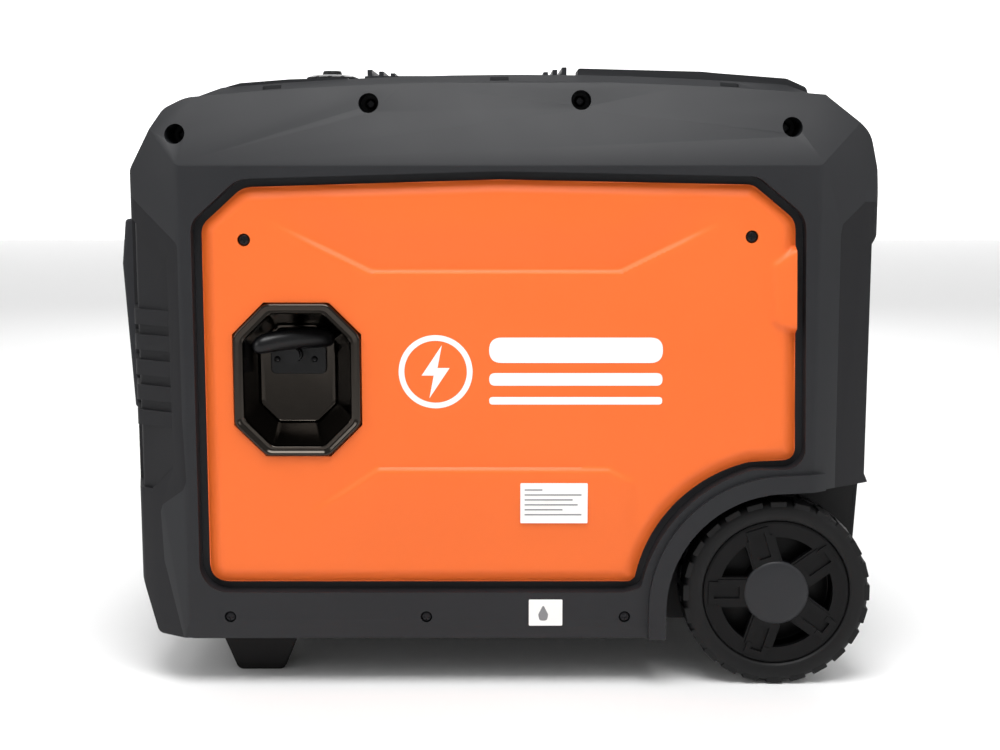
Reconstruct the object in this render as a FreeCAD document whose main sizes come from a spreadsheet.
import FreeCAD, Part
import math
import os
import re

# Portable inverter generator in a suitcase casing, standing on two front feet and two rear wheels.
# X runs from the control panel end (-) to the wheel end (+), Y across the machine with the recoil
# side at -Y, Z up.  The origin is on the ground, in the middle of the machine's bounding box.

V = FreeCAD.Vector
doc = FreeCAD.newDocument("portable_generator")

# ---------------------------------------------------------------- driving dimensions (mm)
DIMS = {
    "wall": (3.0, "casing wall thickness"),
    "side_y": (212.0, "half width over the flat casing sides"),
    "flare_y": (216.0, "half width over the wheel arch flares"),
    "corner_y": (187.0, "half width where the corner facets end"),
    "top_y": (181.0, "half width where the slanted band meets the top"),
    "lid_y": (168.0, "half width of the top cover between its seams"),
    "facet_front": (240.0, "front end of the flat side"),
    "facet_rear": (255.0, "rear end of the flat side"),
    "nose": (290.0, "front face of the casing"),
    "tail": (306.0, "rear face of the casing"),
    "skirt_z": (40.0, "lower edge of the casing"),
    "crease_z": (415.0, "lower edge of the slanted band"),
    "crown_z": (480.0, "top of the crowned roof"),
    "pad_rise": (6.5, "rise of the pad on the roof"),
    "pad_slope": (8.0, "width of the pad's sloping sides"),
    "fascia_z": (391.0, "upper seam of the front and rear fascias"),
    "wheel_x": (230.0, "wheel axle position"),
    "wheel_r": (76.0, "wheel radius over the tread"),
    "wheel_out": (208.0, "outer face of the wheels"),
    "wheel_w": (46.0, "wheel width"),
    "rim_r": (58.5, "rim radius"),
    "tread": (2.5, "tread lug depth"),
    "axle_r": (8.0, "axle radius"),
    "running": (0.05, "running clearance on a shaft, radial"),
    "arch_x": (235.0, "wheel arch centre, X"),
    "arch_z": (65.0, "wheel arch centre, Z"),
    "arch_r": (94.0, "wheel arch radius"),
    "arch_top": (162.0, "height of the straight part of the arch"),
    "arch_in": (150.0, "inner wall of the wheel well"),
    "flare_w": (14.0, "width of the flare round the arch"),
    "gap": (6.5, "gap round the service cover"),
    "cover_y": (208.0, "outer face of the service cover"),
    "cover_t": (3.0, "service cover thickness"),
    "cover_deep": (9.0, "depth of the service cover with its rim"),
    "cover_r": (120.5, "service cover cut-out radius, about the arch centre"),
    "cup_x": (-150.5, "recoil cup centre, X"),
    "cup_z": (248.5, "recoil cup centre, Z"),
    "cup_w": (100.0, "recoil cup rim width"),
    "cup_tall": (121.0, "recoil cup rim height"),
    "cup_cut": (25.0, "corner cut of the cup rim"),
    "cup_rim": (8.0, "width of the cup rim"),
    "cup_face": (211.0, "front of the cup rim"),
    "cup_floor": (166.0, "floor of the recoil cup"),
    "crank_x": (-30.0, "crankshaft axis, X"),
    "crank_z": (202.0, "crankshaft axis, Z"),
    "crank_r": (12.0, "crankshaft radius"),
    "reel_r": (58.0, "rope radius on the recoil reel"),
    "rope_r": (2.5, "recoil rope radius"),
    "foot_x": (-190.0, "front foot centre, X"),
    "foot_y": (150.0, "front foot centre, Y"),
    "foot_neck": (29.0, "height where the front feet stop widening"),
    "tray_z": (37.0, "underside of the base tray"),
    "tube_x": (266.0, "telescopic handle tubes, X"),
    "tube_y": (100.0, "telescopic handle tubes, Y"),
    "tube_r": (9.0, "inner tube radius"),
    "tube_wall": (1.5, "handle tube wall"),
    "panel_x": (292.0, "face of the control panel"),
    "panel_w": (236.0, "control panel width"),
    "panel_low": (222.0, "lower edge of the control panel"),
    "panel_high": (356.0, "upper edge of the control panel"),
    "hood_x": (306.0, "front of the control panel hood"),
    "hatch_x": (-108.0, "hinge line of the top hatch, X"),
    "hatch_len": (175.0, "length of the top hatch"),
    "hatch_w": (130.0, "width of the top hatch"),
    "hatch_z": (491.0, "upper face of the top hatch"),
    "cap_x": (-142.0, "fuel cap centre, X"),
    "cap_r": (23.0, "fuel cap radius"),
    "cap_z": (486.0, "lower edge of the fuel cap"),
    "screw_head": (4.2, "casing screw head radius"),
    "slack": (0.5, "clearance round buttons and lids"),
}
sheet = doc.addObject("Spreadsheet::Sheet", "Dims")
for row, (alias, (size, note)) in enumerate(DIMS.items(), start=1):
    sheet.set(f"A{row}", note)
    sheet.set(f"B{row}", str(size))
    sheet.setAlias(f"B{row}", alias)
doc.recompute()

AXES = {"X": V(1, 0, 0), "Y": V(0, 1, 0), "Z": V(0, 0, 1)}
# Sketch planes: the sketch's own x and y become the two named axes, and it is extruded on the third.
PLANES = {
    "XZ": ("Y", FreeCAD.Rotation(V(1, 0, 0), 90)),
    "XY": ("Z", FreeCAD.Rotation()),
    "YZ": ("X", FreeCAD.Rotation(V(1, 1, 1), 120)),
}
TURN = {"X": FreeCAD.Rotation(V(0, 1, 0), 90), "Y": FreeCAD.Rotation(V(1, 0, 0), -90), "Z": FreeCAD.Rotation()}
nodes = {}


def formula(text):
    """Name the sheet before each alias of a short formula."""
    if not isinstance(text, str):
        return f"{text:.6f}"
    return re.sub(r"[a-z][a-z_]*", lambda word: "Dims." + word.group(), text)


def value(text):
    """The present number behind a formula."""
    return float(sheet.evalExpression(str(text))) if isinstance(text, str) else float(text)


def bind(item, prop, text):
    """Tie a property to the sheet, or set it where it is a plain number."""
    item.setExpression(prop, formula(text))


def place(item, x, y, z, rotation=None):
    if rotation is not None:
        item.Placement = FreeCAD.Placement(V(0, 0, 0), rotation)
    for axis, text in zip("xyz", (x, y, z)):
        bind(item, "Placement.Base." + axis, text)


def node(name, item):
    """Make an object a sub-part of the generator."""
    item.Label = name
    nodes[name] = item
    return item


def box(xs, ys, zs):
    item = doc.addObject("Part::Box", "Block")
    for prop, (low, high) in zip(("Length", "Width", "Height"), (xs, ys, zs)):
        bind(item, prop, f"({high}) - ({low})")
    place(item, xs[0], ys[0], zs[0])
    return item


def rod(axis, start, radius, length):
    """A cylinder from its start point along an axis."""
    item = doc.addObject("Part::Cylinder", "Rod")
    bind(item, "Radius", radius)
    bind(item, "Height", length)
    place(item, *start, TURN[axis])
    return item


def ring(axis, start, radius, bore, length):
    return cut(rod(axis, start, radius, length), rod(axis, start, bore, length))


def edges_of(points):
    """Lines and arcs of a closed outline.

    A point is (u, v) or (u, v, corner radius); ("by", u, v) makes an arc from the point before it,
    through it, to the point after it.
    """
    spots = [(p[0] == "by", V(value(p[-2]), value(p[-1]), 0), 0) if p[0] == "by" else
             (False, V(value(p[0]), value(p[1]), 0), value(p[2]) if len(p) > 2 else 0) for p in points]
    count = len(spots)
    ends = []
    for i, (is_arc, spot, radius) in enumerate(spots):
        if is_arc or not radius:
            ends.append((spot, spot, None))
            continue
        back = (spots[i - 1][1] - spot).normalize()
        ahead = (spots[(i + 1) % count][1] - spot).normalize()
        half = back.getAngle(ahead) / 2
        reach = radius / math.tan(half)
        middle = (back + ahead).normalize()
        bulge = spot + middle * (radius / math.sin(half) - radius)
        ends.append((spot + back * reach, spot + ahead * reach, bulge))
    edges = []
    for i, (is_arc, spot, radius) in enumerate(spots):
        enter, leave, bulge = ends[i]
        after = ends[(i + 1) % count]
        if is_arc:
            edges.append(Part.Arc(ends[i - 1][1], spot, after[0]))
            continue
        if bulge is not None:
            edges.append(Part.Arc(enter, bulge, leave))
        if not spots[(i + 1) % count][0] and (after[0] - leave).Length > 1e-6:
            edges.append(Part.LineSegment(leave, after[0]))
    return edges


def outline(plane, points, offset=0):
    """A sketch of a closed outline, grown or shrunk by an offset where one is given."""
    sketch = doc.addObject("Sketcher::SketchObject", "Outline")
    sketch.Placement = FreeCAD.Placement(V(0, 0, 0), PLANES[plane][1])
    sketch.addGeometry(edges_of(points), False)
    if offset == 0:
        return sketch
    grown = doc.addObject("Part::Offset2D", "GrownOutline")
    grown.Source = sketch
    grown.Join = 0 if value(offset) > 0 else 2
    bind(grown, "Value", offset)
    return grown


def prism(plane, points, start, end, offset=0):
    """An outline on a plane, extruded between two positions on the plane's normal."""
    axis = PLANES[plane][0]
    item = doc.addObject("Part::Extrusion", "Prism")
    item.Base = outline(plane, points, offset)
    item.DirMode = "Custom"
    item.Dir = AXES[axis]
    item.Solid = True
    bind(item, "LengthFwd", f"({end}) - ({start})")
    bind(item, "Placement.Base." + axis.lower(), start)
    return item


def join(kind, items):
    if len(items) == 1:
        return items[0]
    item = doc.addObject("Part::" + kind, kind)
    if kind == "Compound":
        item.Links = items
    else:
        item.Shapes = items
    return item


def fuse(*items):
    return join("MultiFuse", list(items))


def common(*items):
    return join("MultiCommon", list(items))


def group(*items):
    """Separate solids of one kind, such as a set of screws."""
    return join("Compound", list(items))


def cut(base, *tools):
    item = doc.addObject("Part::Cut", "Cut")
    item.Base = base
    item.Tool = group(*tools)
    return item


def leaning(points, start, run, rise):
    """An outline in XZ, extruded across the machine while it climbs."""
    item = doc.addObject("Part::Extrusion", "Leaning")
    item.Base = outline("XZ", points)
    item.DirMode = "Custom"
    item.Dir = V(0, value(run), value(rise))
    item.Solid = True
    bind(item, "LengthFwd", math.hypot(value(run), value(rise)))
    bind(item, "Placement.Base.y", start)
    return item


def turned(axis, at, profile):
    """A body turned about an axis through a point; its profile is (radius, distance along axis)."""
    body = doc.addObject("PartDesign::Body", "Turned")
    plane = [o for o in body.Origin.OriginFeatures if o.Role == "XZ_Plane"][0]
    sketch = body.newObject("Sketcher::SketchObject", "TurnedProfile")
    sketch.AttachmentSupport = [(plane, "")]
    sketch.MapMode = "FlatFace"
    sketch.addGeometry(edges_of(profile), False)
    solid = body.newObject("PartDesign::Revolution", "Revolution")
    solid.Profile = sketch
    solid.ReferenceAxis = (sketch, ["V_Axis"])
    solid.Angle = 360
    place(body, *at, TURN[axis])
    return body


def mirrored(item):
    """The same piece on the other side of the machine."""
    other = doc.addObject("Part::Mirroring", "OtherSide")
    other.Source = item
    other.Normal = AXES["Y"]
    return other


def swung(item, x, z, angle):
    """Swing a piece about the line along Y through (x, z)."""
    holder = doc.addObject("Part::Compound", "Swung")
    holder.Links = [item]
    turn = FreeCAD.Rotation(V(0, 1, 0), angle)
    pivot = V(value(x), 0, value(z))
    holder.Placement = FreeCAD.Placement(pivot - turn.multVec(pivot), turn)
    return holder


def tilted(item):
    """Lean a piece of the cylinder up about the crankshaft."""
    return swung(item, "crank_x", "crank_z", -18)


def loft(axis, first, second):
    """A solid between two outlines, each (plane, points, position, offset)."""
    sections = []
    for plane, points, position, offset in (first, second):
        section = outline(plane, points, offset)
        bind(section, "Placement.Base." + axis.lower(), position)
        if offset != 0:
            section.Source.Placement = FreeCAD.Placement(V(0, 0, 0), PLANES[plane][1])
        sections.append(section)
    item = doc.addObject("Part::Loft", "Loft")
    item.Sections = sections
    item.Solid = True
    item.Ruled = True
    return item


# ---------------------------------------------------------------- casing
# The casing is what a side profile, a plan and a cross section have in common: a crowned roof,
# slanted bands along both sides and facets at the four corners.  A raised pad with sloping sides
# lies on the roof, between two broken ridges.
SIDE_PROFILE = [("-nose + 22", "skirt_z", 6), ("-nose + 3", 100, 20), ("-nose", 146, 10), ("-nose", 392, 10),
                ("-nose + 9", 413, 8), ("-nose + 37", 459, 14), ("-nose + 54", 468, 30), ("by", 10, "crown_z"),
                (262, 470), (297, 440, 24), ("tail - 2", 412, 8), ("tail", 388, 4), ("tail", 361, 3),
                ("tail - 5", 354, 3), ("tail - 5", 170, 3), ("tail", 160, 3), ("tail - 3", 107, 8),
                ("tail - 16", "skirt_z", 6)]
PLAN = [("-facet_front", "-side_y", 12), ("-nose + 8.5", "-corner_y", 8), ("-nose", -150, 10),
        ("-nose", 150, 10), ("-nose + 8.5", "corner_y", 8), ("-facet_front", "side_y", 12), ("facet_rear", "side_y", 12),
        ("tail", "corner_y", 8), ("tail", "-corner_y", 8), ("facet_rear", "-side_y", 12)]
SECTION = [("-side_y + 5", "skirt_z - 20"), ("-side_y", "skirt_z + 16", 10), ("-side_y", "crease_z", 5),
           ("-top_y", "crown_z - 1", 5), ("-top_y + 10", 520), ("top_y - 10", 520), ("top_y", "crown_z - 1", 5),
           ("side_y", "crease_z", 5), ("side_y", "skirt_z + 16", 10), ("side_y - 5", "skirt_z - 20")]
ROOF_ARC = [(-238, 450), (-238, 468), ("by", 10, "crown_z"), (262, 470), (262, 450)]
ROOF_PAD = [(-236, 450), (-236, 467), (-212, "crown_z + pad_rise - 10", 8), ("by", 10, "crown_z + pad_rise"),
            (236, "crown_z + pad_rise - 8", 8), (260, 469), (260, 450)]
FRONT_RIDGE = [(-217, 460), (-217, 468), (-209, 477, 3), (-198, 480, 6), (-159, 483), (-112, 484.5, 2),
               (-112, 460)]
REAR_RIDGE = [(70, 460), (70, 491.5, 2), (168, 489), (181, 487.8), (236, 483.6, 8), (252, 476.5, 5), (256, 460)]
ARCH = [("arch_x - arch_r", 10), ("arch_x - arch_r", "arch_z"),
        ("by", "arch_x - arch_r * 0.7071", "arch_z + arch_r * 0.7071"),
        ("arch_x", "arch_z + arch_r"), ("tail + 20", "arch_top + 2"), ("tail + 20", 10)]
COVER = [(-224, 84.5, 16), (-223.5, 369, 10), (-191, 398.5, 16), (8, 404.5, 900), (204.5, 400.5, 10),
         (238, 373, 16), (242.5, 184, 10), ("arch_x - 28", 184),
         ("by", "arch_x - cover_r * 0.7071", "arch_z + cover_r * 0.7071"), ("arch_x - cover_r + 1", 87),
         (107, 84.5, 6)]
FRONT_SEAM = [(-340, 10), (-245, 10), (-245, 40), (-261, 101), (-263, 141, 3), (-261, 147, 3), (-242, 161, 3),
              (-239, 168, 3), (-241, 217), (-241, 355, 6), ("-nose + 9", "fascia_z"), (-340, "fascia_z")]
REAR_SEAM = [(340, 10), (275, 10), (275, 160), (273.5, 362, 3), (275, 370, 3), (294, "fascia_z - 4"),
             (340, "fascia_z - 4")]


UPPER_SCREWS = [(-242.8, 439.4), (-93.8, 463.3), (71.7, 465.6), (234.7, 444.7)]
LOWER_SCREWS = (-206.9, -50.3, 107.9)
COVER_SCREWS = [(-190.1, 358.1), (203.7, 360.5)]
ROPE_X = -157
ROPE_Z = 264


def hull(offset):
    """The casing's outer form, or a form inside it where the offset is negative."""
    floor = "skirt_z" if offset == 0 else "skirt_z - 15"
    forms = [prism("XZ", SIDE_PROFILE, "-flare_y", "flare_y", offset), prism("XY", PLAN, floor, 500, offset),
             prism("YZ", SECTION, -330, 330, offset)]
    if offset != 0:
        # The lower edge stays open, so the inner form runs down past the skirt.
        low = [("-nose + 25", 10), ("-nose + 25", 60), ("tail - 19", 60), ("tail - 19", 10)]
        forms[0] = fuse(forms[0], prism("XZ", low, "-flare_y", "flare_y"))
    return common(*forms)


def octagon(width, height, corner, x="cup_x", z="cup_z"):
    """Corner-cut rectangle of the recoil cup."""
    w, t = f"({width}) / 2", f"({height}) / 2"
    return [(f"{x} - {w} + {corner}", f"{z} - {t}"), (f"{x} + {w} - {corner}", f"{z} - {t}"),
            (f"{x} + {w}", f"{z} - {t} + {corner}"), (f"{x} + {w}", f"{z} + {t} - {corner}"),
            (f"{x} + {w} - {corner}", f"{z} + {t}"), (f"{x} - {w} + {corner}", f"{z} + {t}"),
            (f"{x} - {w}", f"{z} + {t} - {corner}"), (f"{x} - {w}", f"{z} - {t} + {corner}")]


def casing():
    """The moulded shells: two sides, a roof and two end fascias."""
    inside = hull("-wall")
    arch_tools = [prism("XZ", ARCH, "-flare_y - 5", "-arch_in"), prism("XZ", ARCH, "arch_in", "flare_y + 5")]
    skin = cut(hull(0), inside)
    flare_ring = cut(prism("XZ", ARCH, "-flare_y", "-side_y + 1", "flare_w"), prism("XZ", ARCH, -230, -200),
                     box((-340, 340), (-230, -200), (0, "skirt_z")),
                     box(("tail - 3", 400), (-230, -200), (0, 400)))
    flare_near = common(flare_ring, prism("XY", PLAN, 0, 400, 4))
    skin = fuse(skin, flare_near, mirrored(flare_near))
    frames = []
    for side in (-1, 1):
        # A return wall behind each service opening, and a ledge that the cover sits on.
        outer, seat, back = ("-side_y + 1", "-cover_y + cover_deep + 1", "-cover_y + cover_deep + 4")
        rim = cut(prism("XZ", COVER, outer, back, "gap + wall"), prism("XZ", COVER, outer, seat, "gap"),
                  prism("XZ", COVER, -230, -150, -9))
        frames.append(rim if side < 0 else mirrored(rim))
    openings = [prism("XZ", COVER, -230, "-side_y + wall + 2", "gap"),
                prism("XZ", COVER, "side_y - wall - 2", 230, "gap")]
    skin = fuse(cut(skin, *openings), *frames)
    skin = cut(skin, *arch_tools)
    roof_zone = box((-330, 330), ("-lid_y", "lid_y"), ("fascia_z", 520))
    front_zone = prism("XZ", FRONT_SEAM, -230, 230)
    rear_zone = prism("XZ", REAR_SEAM, -230, 230)
    ends = fuse(roof_zone, front_zone, rear_zone)
    bosses = [rod("Y", (x, y, z), 9.8, 50) for x, z in UPPER_SCREWS for y in (-210, 160)]
    sides = fuse(cut(skin, ends), *[common(boss, hull(0)) for boss in bosses])
    holes = [rod("Y", (x, y, z), 7.8, 67) for x, z in UPPER_SCREWS for y in (-230, 163)]
    for x in LOWER_SCREWS:
        for y in ("-side_y - 2", "side_y - 4"):
            holes.append(rod("Y", (x, y, 58), 4.6, 6))
    shelled = cut(sides, *holes)
    node("side_shell_left", common(shelled, box((-330, 330), (-230, 0), (0, 520))))
    node("side_shell_right", common(shelled, box((-330, 330), (0, 230), (0, 520))))

    # Roof: an opening for the tool tray, a recess for the pull handle and raised ridges along both sides.
    tray_hole = (("hatch_x - 1", "hatch_x + hatch_len + 1"), ("-hatch_w / 2 - 1", "hatch_w / 2 + 1"))
    tray_in = (("hatch_x + 2", "hatch_x + hatch_len - 2"), ("-hatch_w / 2 + 2", "hatch_w / 2 - 2"))
    node("tool_tray", cut(box(*tray_hole, (452, "hatch_z - 5.8")), box(*tray_in, (455, 500))))
    roof = cut(skin, front_zone, rear_zone, box((-330, 330), (-230, "-lid_y"), (0, 520)),
               box((-330, 330), ("lid_y", 230), (0, 520)), box((-330, 330), (-230, 230), (0, "fascia_z")))
    recess = common(box((212, 330), (-122, 122), (436, 520)), hull(0))
    recess_in = box((215, 292), (-119, 119), (439, 520))
    slope = leaning(ROOF_ARC, "-lid_y", "pad_slope", "pad_rise")
    pad = common(fuse(slope, mirrored(slope), prism("XZ", ROOF_PAD, "-lid_y + pad_slope", "lid_y - pad_slope")),
                 prism("XZ", ROOF_PAD, "-lid_y", "lid_y"))
    ridges = [prism("XZ", profile, *ends) for profile in (FRONT_RIDGE, REAR_RIDGE)
              for ends in ((126, 160), (-160, -126))]
    raised = cut(fuse(pad, *ridges), hull(0))
    roof = cut(fuse(roof, recess, raised), box(*tray_hole, (440, 520)), recess_in,
               rod("Z", ("cap_x", 0, 440), "cap_r - 3", 60),
               *[rod("Z", ("tube_x", f"{s} * tube_y", 420), "tube_r + 1", 30) for s in (-1, 1)],
               *[box((x - 7.3, x + 7.3), (y - 2, y + 2), (466, 500)) for x in (-172, 8, 190)
                 for y in (-164, 164)])
    node("top_cover", roof)

    # Front fascia: open where the control panel sits, with a sunk panel and five raised bars at each corner.
    sunk = [(-281, 374), (-251, 343, 6), (-250, 178, 6), (-270, 159), ("-nose - 20", 159), ("-nose - 20", 374)]
    deeper = hull("-2 * wall")
    front = ("-nose - 20", -230)
    corners = group(box(front, (-230, -150), (0, 500)), box(front, (150, 230), (0, 500)))
    wider_corners = group(box(front, (-230, -147), (0, 500)), box(front, (147, 230), (0, 500)))
    sunk_zone = common(prism("XZ", sunk, -230, 230), corners)
    back_zone = common(prism("XZ", sunk, -230, 230, "wall"), wider_corners)
    backing = common(cut(inside, deeper), back_zone)
    bar_zones = [box(front, (-230, 230), (z, z + 12.4)) for z in (290.5, 270.4, 250.2, 230.1, 210)]
    bars = [common(skin, sunk_zone, zone) for zone in bar_zones]
    fascia = fuse(cut(common(skin, front_zone), sunk_zone), backing, *bars)
    panel_hole = box((-330, -270), ("-panel_w / 2", "panel_w / 2"), ("panel_low", "panel_high"))
    intake = [box((-330, -270), (-95, 95), (z, z + 7)) for z in range(70, 190, 14)]
    node("front_fascia", cut(cut(fascia, panel_hole), *intake))

    # Rear fascia: a louvred block over the handle tubes and an opening for the exhaust.
    outlet = box((280, 330), (30, 110), (215, 295))
    louvres = [box((280, 330), (-110, 10), (z, z + 7)) for z in range(206, 336, 17)]
    ribs = [prism("XZ", [("tail - 6", z), ("tail - 1", z), ("tail - 6", z + 14)], -120, 120)
            for z in range(215, 330, 17)]
    back = common(skin, rear_zone)
    node("rear_fascia", cut(fuse(back, *ribs), outlet, *louvres))

    liners = cut(prism("XZ", ARCH, "-side_y", "-arch_in + wall", "wall"), prism("XZ", ARCH, -230, "-arch_in"),
                 rod("Y", ("wheel_x", -180, "wheel_r"), "axle_r + 1", 60))
    near = common(liners, hull("-wall - 0.01"), box((-330, 330), (-230, 230), ("skirt_z + 14.2", 300)))
    node("wheel_wells", group(near, mirrored(near)))

    tray = [(-262, -186, 14), (-240, -202, 8), (138, -202, 4), (138, -146, 4), (284, -146, 8), (284, 146, 8),
            (138, 146, 4), (138, 202, 4), (-240, 202, 8), (-262, 186, 14)]
    axle_slot = box(("wheel_x - 18", "wheel_x + 18"), (-144, 144), ("skirt_z + 5", "wheel_r"))
    bed = cut(prism("XY", tray, "tray_z", "skirt_z + 14"), prism("XY", tray, "tray_z + wall", 80, "-wall"))
    saddle = cut(box(("wheel_x - 14", "wheel_x + 14"), (-140, -126), ("tray_z + 1", "wheel_r + 14")),
                 rod("Y", ("wheel_x", -150, "wheel_r"), "axle_r + running", 40))
    node("base_tray", fuse(bed, saddle, mirrored(saddle)))


def service_covers():
    """Orange side covers that lift straight off, each held by two quarter-turn screws."""
    deep = "-cover_y + cover_deep"
    plate = cut(prism("XZ", COVER, "-cover_y", deep), prism("XZ", COVER, "-cover_y + cover_t", deep, "-cover_t"))
    holes = [rod("Y", (x, -215, z), 5.0, 30) for x, z in COVER_SCREWS]
    tab = prism("XZ", [(221, 288), (243.5, 280), (243.5, 354), (233, 354, 3), (221, 342, 3)], "-cover_y - 3",
                "-cover_y + 1")
    blank = fuse(plate, tab)
    cup_hole = prism("XZ", octagon("cup_w + 2 * slack", "cup_tall + 2 * slack", "cup_cut"), -230, -150)
    node("service_cover_left", cut(blank, cup_hole, *holes))
    node("service_cover_right", mirrored(cut(blank, *holes)))
    for name, side in (("cover_screws_left", -1), ("cover_screws_right", 1)):
        screws = []
        for x, z in COVER_SCREWS:
            head = rod("Y", (x, "-cover_y + 1", z), 4.5, 2.5)
            shank = rod("Y", (x, "-cover_y + 3", z), 2.5, 5)
            screws.append(fuse(head, shank))
        pair = group(*screws)
        node(name, pair if side < 0 else mirrored(pair))


def casing_screws():
    """Pan-head screws low on both sides, and the heads at the bottom of the deep upper holes."""
    low = [rod("Y", (x, y, 58), "screw_head", 2.5) for x in LOWER_SCREWS
           for y in ("-side_y + 0.6", "side_y - 3.1")]
    deep = [rod("Y", (x, y, z), "screw_head", 4) for x, z in UPPER_SCREWS for y in (-167, 163)]
    node("shell_screws", group(*low, *deep))


def recoil_starter():
    """The bright cup in the left cover, its rope guide, the grip and the reel behind."""
    rim_in = ("cup_w - 2 * cup_rim", "cup_tall - 2 * cup_rim", "cup_cut - 4")
    floor = octagon(61, 79, 15, "cup_x - 4.5")
    floor_back = octagon(66, 84, 16, "cup_x - 4.5")
    cavity = loft("Y", ("XZ", octagon(*rim_in), "-cup_face - 0.01", 0), ("XZ", floor, "-cup_floor", 0))
    jacket = loft("Y", ("XZ", octagon("cup_w - 9", "cup_tall - 9", "cup_cut - 4"), "-cup_face + 1", 0),
                  ("XZ", floor_back, "-cup_floor + 2.5", 0))
    rim = prism("XZ", octagon("cup_w", "cup_tall", "cup_cut"), "-cup_face", "-cup_face + 5")
    eye = rod("Y", (ROPE_X, -200, ROPE_Z), 6.5, 60)
    node("recoil_bezel", cut(fuse(rim, jacket), cavity, eye))
    plate = box((-177, -132), ("-cup_floor - 2.5", "-cup_floor"), (248, 273))
    eyelet = rod("Y", (ROPE_X, "-cup_floor - 4.5", ROPE_Z), 6, 22)
    screws = [rod("Y", (x, "-cup_floor - 4", 260), 2.6, 2) for x in (-171.6, -141.5)]
    node("recoil_guide_plate", cut(fuse(plate, eyelet, *screws), rod("Y", (ROPE_X, -200, ROPE_Z), 3.3, 80)))

    grip = turned("Z", (ROPE_X, -190, 272), [(0, -33), (5, -33, 2), (8, -22, 20), (9.5, 0, 60), (8, 22, 20),
                                               (5, 33, 2), (0, 33)])
    grip.Placement = FreeCAD.Placement(V(value(ROPE_X), -190, 272), FreeCAD.Rotation(V(0, 0, 1), 25) * TURN["X"])
    neck = rod("Y", (ROPE_X, -188, ROPE_Z), 4.5, 12)
    node("recoil_grip", fuse(grip, neck))
    node("recoil_rope", rod("Y", (ROPE_X, -176, ROPE_Z), "rope_r", 34))

    reel = [("crank_r + 1", -128), ("reel_r + 4", -128), ("reel_r + 4", -124), ("reel_r - 4", -124),
            ("reel_r - 4", -116), ("reel_r + 4", -116), ("reel_r + 4", -112), ("crank_r + 1", -112)]
    node("recoil_reel", turned("Y", ("crank_x", 0, "crank_z"), reel))
    shell = [(6, -137), (90, -137, 8), (96, -60), (93, -60), (87, -134, 6), (6, -134)]
    post = [(0, -137), ("crank_r + 1 - running", -137), ("crank_r + 1 - running", -111), (0, -111)]
    dome = turned("Y", ("crank_x", 0, "crank_z"), shell)
    pin = turned("Y", ("crank_x", 0, "crank_z"), post)
    arm = box((-166, "crank_x - 60"), (-140, -137), (250, 278))
    exit_hole = box((-150, "crank_x - 40"), (-126, -114), ("crank_z + reel_r - 4", "crank_z + reel_r + 4"))
    rays = [swung(box(("crank_x + 30", "crank_x + 80"), (-145, -130), ("crank_z - 2.5", "crank_z + 2.5")),
                  "crank_x", "crank_z", 30 * k + 15) for k in range(12)]
    node("recoil_housing", cut(fuse(dome, pin, arm), exit_hole, *rays))


def engine():
    """Single-cylinder overhead-valve engine, laid over towards the wheels, on four rubber mounts."""
    sump = box((-105, 50), (-52, 75), (74, 262))
    hollow = box((-97, 42), (-44, 67), (82, 254))
    feet = box((-120, 65), (-70, 92), (62, 74))
    bore = rod("Y", ("crank_x", -80, "crank_z"), "crank_r + running", 180)
    barrel = rod("X", ("crank_x + 60", 12, "crank_z"), 36, 100)
    fins = [box((x, x + 3), (-40, 64), ("crank_z - 50", "crank_z + 50")) for x in range(78, 126, 8)]
    lining = tilted(rod("X", ("crank_x + 50", 12, "crank_z"), 30, 120))
    node("engine_block", cut(fuse(sump, feet, tilted(fuse(barrel, *fins))), hollow, bore, lining))
    mounts = [rod("Z", (x, y, "tray_z + wall"), 15, "62 - tray_z - wall") for x in (-100, 45) for y in (-55, 77)]
    node("rubber_mounts", group(*mounts))
    head = prism("YZ", [(-34, "crank_z - 44", 12), (58, "crank_z - 44", 12), (58, "crank_z + 44", 12),
                        (-34, "crank_z + 44", 12)], "crank_x + 160", "crank_x + 196")
    node("valve_cover", tilted(head))
    plug = fuse(rod("X", ("crank_x + 196", 40, "crank_z + 30"), 5, 14),
                rod("X", ("crank_x + 208", 40, "crank_z + 30"), 8, 18))
    node("spark_plug", tilted(plug))
    shaft = rod("Y", ("crank_x", -108, "crank_z"), "crank_r", 205)
    webs = [rod("Y", ("crank_x", y, "crank_z"), 36, 14) for y in (-10, 22)]
    node("crankshaft", fuse(shaft, *webs))
    drum = [("crank_r", -108), (84, -108, 3), (84, -62), (72, -62), (72, -100), ("crank_r", -100)]
    node("flywheel_rotor", turned("Y", ("crank_x", 0, "crank_z"), drum))
    node("stator", ring("Y", ("crank_x", -96, "crank_z"), 66, 24, 44))
    throat = rod("X", (62, 88, 268), 16, 40)
    bowl = rod("Z", (82, 88, 236), 17, 22)
    node("carburettor", fuse(throat, bowl, box((66, 98), (72, 104), (256, 280))))
    node("air_cleaner", prism("XZ", [(-75, 232, 12), (60, 232, 12), (60, 330, 12), (-75, 330, 12)], 80, 165))
    can = prism("XZ", [(188, 208, 22), (246, 208, 22), (246, 312, 22), (188, 312, 22)], -80, 78)
    pipe = rod("X", (244, 55, 255), 13, 46)
    node("muffler", cut(fuse(can, pipe), rod("X", (250, 55, 255), 11, 60)))
    rim = cut(box((291, 301), (32, 108), (217, 293)), box((280, 320), (38, 102), (223, 287)))
    bars = [box((294, 299), (38, 102), (z, z + 3)) for z in range(231, 284, 10)]
    node("exhaust_grille", fuse(rim, *bars))
    node("battery", box((-190, -115), (100, 175), ("tray_z + wall", 130)))
    case = box((-256, -222), (-100, 100), ("tray_z + wall", 196))
    fins = [box((-223, -209), (y, y + 3), (48, 190)) for y in range(-90, 91, 12)]
    node("inverter_module", fuse(case, *fins))


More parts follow.
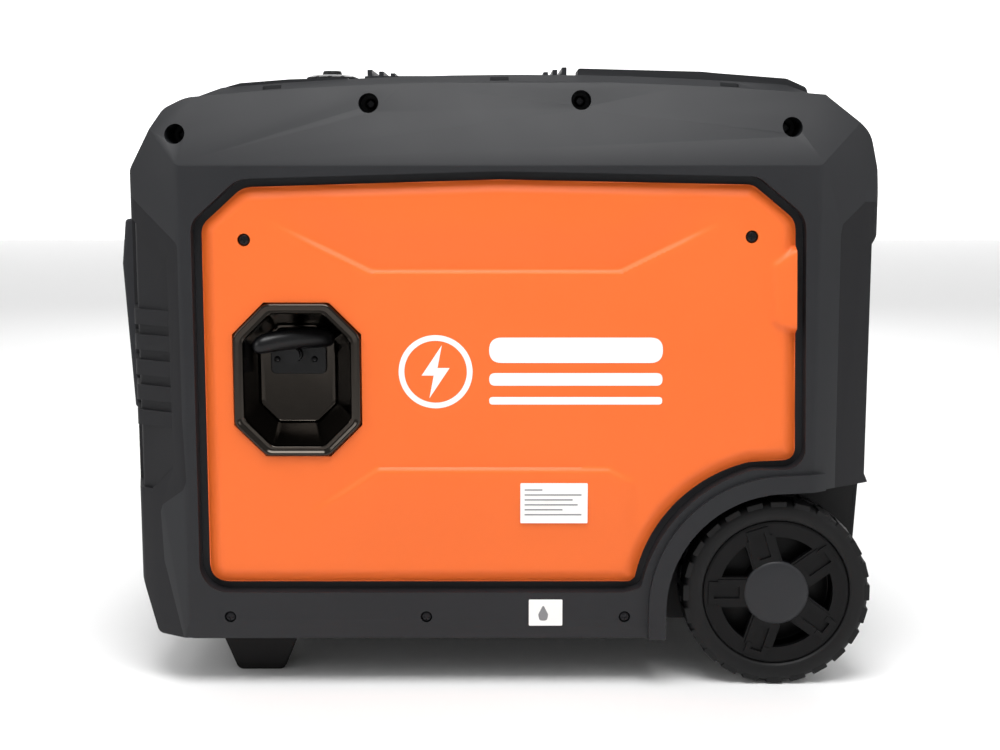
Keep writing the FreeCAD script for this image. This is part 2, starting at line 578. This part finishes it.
def fuel_and_roof():
    """Tank under the roof, its filler neck and cap, and the hatch over the tool tray."""
    tank_outline = [(-230, -165, 30), (205, -165, 30), (205, 165, 30), (-230, 165, 30)]
    tank = cut(prism("XY", tank_outline, 345, 447), prism("XY", tank_outline, 348, 444, "-wall"),
               rod("Z", ("cap_x", 0, 400), "cap_r - 7", 100))
    node("fuel_tank", tank)
    node("filler_neck", ring("Z", ("cap_x", 0, 447), "cap_r - 3.6", "cap_r - 7", "cap_z - 442"))
    lid = turned("Z", ("cap_x", 0, "cap_z"), [(0, 9), ("cap_r - 5", 9, 1), ("cap_r", 7, 1), ("cap_r", 0, 1),
                                             ("cap_r - 2.4", 0), ("cap_r - 2.4", 5.3), ("cap_r - 7.6", 5.3),
                                             ("cap_r - 7.6", -5), (0, -5)])
    lobes = []
    for k in range(12):
        angle = math.radians(30 * k)
        reach = value("cap_r") + 1.6
        spot = (value("cap_x") + reach * math.cos(angle), reach * math.sin(angle), "cap_z - 1")
        lobes.append(rod("Z", spot, 3, 12))
    node("fuel_cap", cut(lid, *lobes))
    knob = turned("Z", ("cap_x", 0, "cap_z + 9.05"), [(0, 0), (9, 0, 1), (8, 3.9, 1), (0, 3.9)])
    node("fuel_cap_vent_knob", knob)
    end = "hatch_x + hatch_len"
    half = "hatch_w / 2"
    plate = prism("XY", [("hatch_x", f"-{half}", 8), (end, f"-{half}", 8), (end, half, 8), ("hatch_x", half, 8)],
                  "hatch_z - 3.5", "hatch_z")
    bars = []
    for k in range(3):
        for start, tall in ((f"{end} - {5 + 8 * k}", 8 - 2 * k), (f"hatch_x + {2 + 10 * k}", 6 - 1.5 * k)):
            bars.append(box((start, f"{start} + 4"), ("-hatch_w / 2 + 12", "hatch_w / 2 - 12"),
                            ("hatch_z - 1", f"hatch_z + {tall}")))
    barrel = rod("Y", ("hatch_x", "-hatch_w / 2 + 6", "hatch_z - 3.5"), 1.8, "hatch_w - 12")
    node("top_hatch", fuse(plate, barrel, *bars))


def wheels_and_handle():
    """Two six-inch wheels on one axle and a telescopic pull handle."""
    node("wheel_axle", rod("Y", ("wheel_x", "-wheel_out + 6", "wheel_r"), "axle_r", "2 * wheel_out - 12"))
    out, depth = "-wheel_out", "wheel_w"
    hub = ("wheel_x", 0, "wheel_r")
    tread = [("rim_r", f"{out} + 4"), ("wheel_r - 9", f"{out} + 1", 4), ("wheel_r - tread", f"{out} + 6", 3),
             ("wheel_r - tread", f"{out} + {depth} - 6", 3), ("wheel_r - 9", f"{out} + {depth} - 1", 4),
             ("rim_r", f"{out} + {depth} - 4")]
    lug_half = "wheel_r * 0.095"
    lugs = [swung(box(("wheel_x + wheel_r - tread - 4", "wheel_x + wheel_r + 2"),
                      (f"{out} + 6", f"{out} + wheel_w - 6"), (f"wheel_r - {lug_half}", f"wheel_r + {lug_half}")),
                  "wheel_x", "wheel_r", 15 * k) for k in range(24)]
    tread_zone = rod("Y", ("wheel_x", out, "wheel_r"), "wheel_r", depth)
    tyre = fuse(turned("Y", hub, tread), common(join("MultiFuse", lugs), tread_zone))
    flange = [("rim_r - 8", f"{out} + 2.5"), ("rim_r", f"{out} + 2.5"), ("rim_r", f"{out} + {depth} - 3"),
              ("rim_r - 5", f"{out} + {depth} - 3"), ("rim_r - 5", f"{out} + 12")]
    core = [("axle_r + running", f"{out} + 6"), (24, f"{out} + 6"), (24, f"{out} + 22"),
            ("rim_r - 4", f"{out} + 24"), ("rim_r - 4", f"{out} + 28"), (17, f"{out} + 28"),
            (17, f"{out} + {depth} + 2"), ("axle_r + running", f"{out} + {depth} + 2")]
    spokes = [swung(box(("wheel_x + 21", "wheel_x + 53"), (f"{out} + 3", f"{out} + 12"),
                        ("wheel_r - 10", "wheel_r + 10")), "wheel_x", "wheel_r", 180 + 72 * k) for k in range(5)]
    rim = cut(fuse(turned("Y", hub, flange), turned("Y", hub, core), *spokes),
              rod("Y", ("wheel_x", "-wheel_out", "wheel_r"), 26.3, 6.5))
    cap = turned("Y", hub, [(0, f"{out}"), (18, f"{out} + 0.6", 30), (26, f"{out} + 3", 2), (26, f"{out} + 5.9"),
                            (0, f"{out} + 5.9")])
    for name, piece in (("tyre", tyre), ("rim", rim), ("hub_cap", cap)):
        node(name + "_left", piece)
        node(name + "_right", mirrored(piece))

    sides = (-1, 1)
    sleeves = [ring("Z", ("tube_x", f"{s} * tube_y", 95), "tube_r + running + tube_wall", "tube_r + running", 340)
               for s in sides]
    clips = [box(("tube_x + tube_r + 1.2", "tail - 8"), (f"{s} * tube_y - 6", f"{s} * tube_y + 6"), (z, z + 14))
             for s in sides for z in (190, 330)]
    node("handle_outer_tubes", group(fuse(sleeves[0], clips[0], clips[1]), fuse(sleeves[1], clips[2], clips[3])))
    tubes = [ring("Z", ("tube_x", f"{s} * tube_y", 110), "tube_r", "tube_r - tube_wall", 338) for s in sides]
    node("handle_inner_tubes", group(*tubes))
    bar = prism("XZ", [(250, 448), (250, 464, 4), (260, 468.5, 3), (283, 449.5, 1), (281, 448)], -112, 112)
    node("handle_grip", cut(bar, box((253, 261), (-12.5, 12.5), (457, 480))))
    node("handle_release_button", box((253.5, 260.5), (-12, 12), (462, 469.5)))


def feet():
    """Two tapered rubber feet under the front of the tray."""
    block = prism("XZ", [("foot_x - 31", "tray_z"), ("foot_x + 31", "tray_z"), ("foot_x + 31", "foot_neck"),
                         ("foot_x + 19", 0, 6), ("foot_x - 19", 0, 6), ("foot_x - 31", "foot_neck")],
                  "-foot_y - 20", "-foot_y + 20")
    node("front_feet", group(block, mirrored(block)))


def control_panel():
    """Hooded panel at the front end, with its outlets, dial, switches and display."""
    face = "-panel_x"
    hood = [(-286, 373), (-302.5, 371, 3), ("-hood_x", 334, 6), (-299, 214, 3), (-286, 208)]
    frame = prism("XZ", hood, -122, 122)
    window = box((-330, -280), ("-panel_w / 2", "panel_w / 2"), ("panel_low", "panel_high"))
    node("control_panel_hood", cut(frame, window, hull(0)))
    duplex = [box((-296, -280), (y - 17, y + 17), (242, 278)) for y in (90, 48)]
    slots = []
    for y in (90, 48):
        for z in (251, 269):
            slots.extend([box((-300, -288), (y + k - 0.9, y + k + 0.9), (z - 3.5, z + 3.5)) for k in (-6, 6)])
    twist = rod("X", (-297, 2, 258), 20, 17)
    camper = rod("X", (-298, -52, 258), 24, 18)
    blades = [box((-305, -290), (y - 1.2, y + 1.2), (258 - 8, 258 + 8)) for y in (-8, 12, -62, -42)]
    posts = [rod("X", (-303, -100, z), 5, 14) for z in (240, 262, 284)]
    glass = box((-294.5, -289), (16, 106), (312, 344))
    holes = [rod("X", (-300, -18, 332), "10.5 + slack", 20), rod("X", (-300, -82, 322), "4.95 + running", 20),
             box((-300, -280), (-31.5, -10.5), (290.5, 306.5)), rod("X", (-300, -56, 298), "5 + slack", 20)]
    sheet_metal = box((face, "-panel_x + 3"), ("-panel_w / 2", "panel_w / 2"), ("panel_low", "panel_high"))
    node("control_panel", cut(sheet_metal, *duplex, twist, camper, *posts, glass, *holes))
    node("household_outlets", cut(group(*duplex), *slots))
    node("locking_outlets", cut(group(twist, camper), *blades))
    node("panel_terminals", group(*posts))
    node("display_window", glass)
    node("start_button", rod("X", (-297, -18, 332), 10.5, 13))
    dial = turned("X", (0, -82, 322), [(0, -304), (16, -304, 2), (19, -298, 1), (19, -293), (4.95, -293), (4.95, -285),
                                       (0, -285)])
    node("engine_dial", dial)
    node("eco_rocker", box((-296.5, -288), (-31, -11), (291, 306)))
    node("breaker_button", rod("X", (-298, -56, 298), 5, 12))
    lid = fuse(box((-299.5, -298), (24, 114), (236, 286)), box((-299.5, -294), (24, 114), (284, 287)),
               rod("Y", (-294, 24, 285.5), 1.5, 90))
    node("outlet_cover", lid)


casing()
service_covers()
casing_screws()
recoil_starter()
engine()
fuel_and_roof()
wheels_and_handle()
feet()
control_panel()
doc.recompute()

failed = [item.Name for item in doc.Objects if "Invalid" in item.State or "Error" in item.State]
for name, item in nodes.items():
    if item.Shape.isNull() or not item.Shape.isValid() or not item.Shape.Solids:
        failed.append(name)
if failed:
    raise SystemExit("These objects failed: " + ", ".join(failed))
os.makedirs("parts", exist_ok=True)
for name, item in nodes.items():
    item.Shape.exportStep(f"parts/{name}.step")
print(len(nodes), "sub-parts written")
